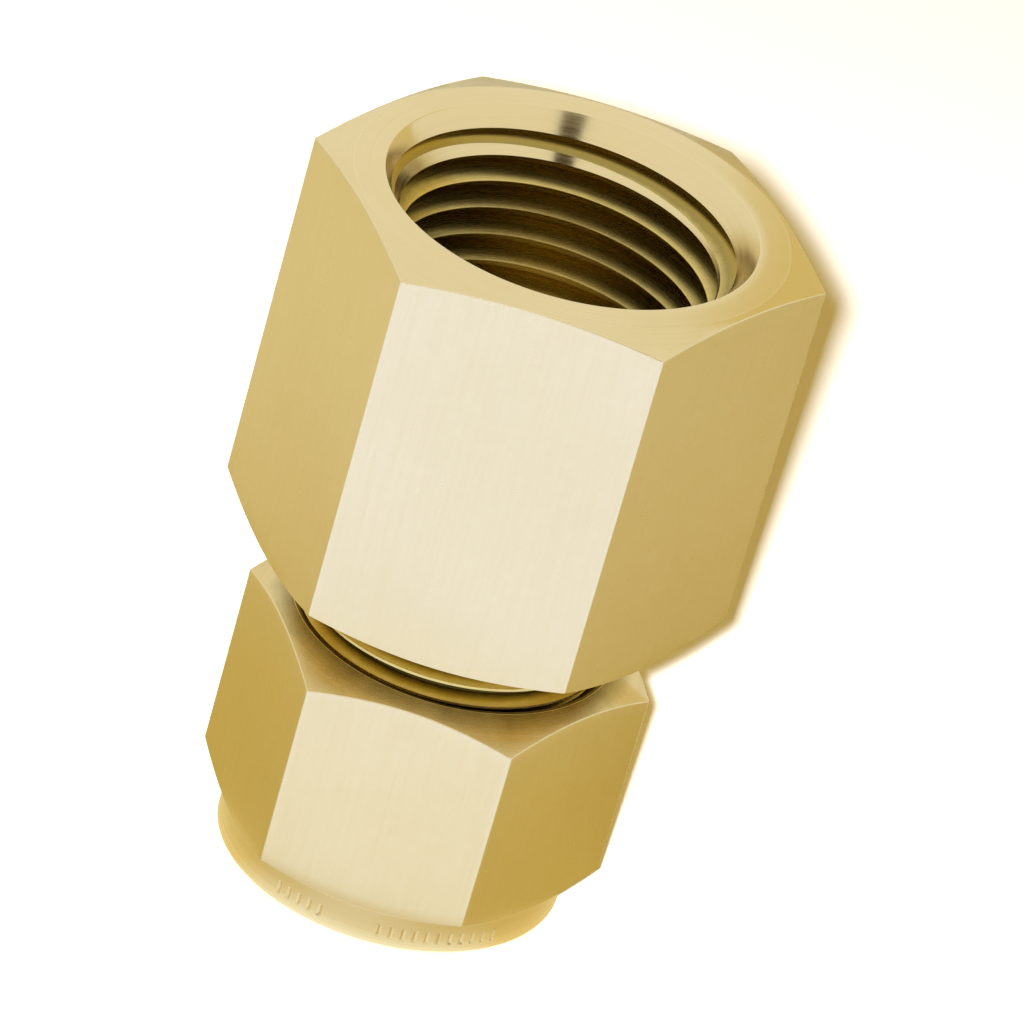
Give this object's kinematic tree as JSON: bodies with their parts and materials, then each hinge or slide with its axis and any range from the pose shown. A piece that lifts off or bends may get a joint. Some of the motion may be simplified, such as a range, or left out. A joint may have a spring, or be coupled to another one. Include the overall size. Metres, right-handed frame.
{
  "type": "compression fitting",
  "caption": "Straight brass compression fitting that joins a plain metal tube to a male pipe: hex body with inner pipe thread, hex nut on a threaded neck, and twin ferrules inside.",
  "frame": {"origin": "on the tube's axis, at the centre of the nut's bottom face, which the fitting stands on", "axes": "+Z along the axis from the tube end to the pipe end, +X through a corner of the body's hexagon, -Y out of its front flat"},
  "size_m": [0.0312, 0.027, 0.0466],
  "materials": {
    "body_brass": "satin machined brass, drawn hexagon bar with turned ends",
    "nut_brass": "satin machined brass, drawn hexagon bar with a turned collar",
    "ferrule_brass": "bright fine-turned brass"
  },
  "bodies": {
    "nut": {"tube_nut": "nut_brass"},
    "back_ring": {"back_ferrule": "ferrule_brass"},
    "front_ring": {"front_ferrule": "ferrule_brass"},
    "body": {"connector_body": "body_brass"}
  },
  "joints": [
    {"name": "body_travel", "type": "slide", "parent": "nut", "child": "front_ring", "axis": [0, 0, 1], "range_m": [0, 0.00762]},
    {"name": "body_turn", "type": "hinge", "parent": "front_ring", "child": "body", "pos_m": [0, 0, 0.0098], "axis": [0, 0, 1], "range_deg": [0, 2160]},
    {"name": "back_ring_spin", "type": "hinge", "parent": "nut", "child": "back_ring", "pos_m": [0, 0, 0.0055], "axis": [0, 0, 1], "continuous": true}
  ],
  "couplings": [
    {"joint": "body_turn", "follows": "body_travel", "rad_per_m": 4947.4}
  ]
}
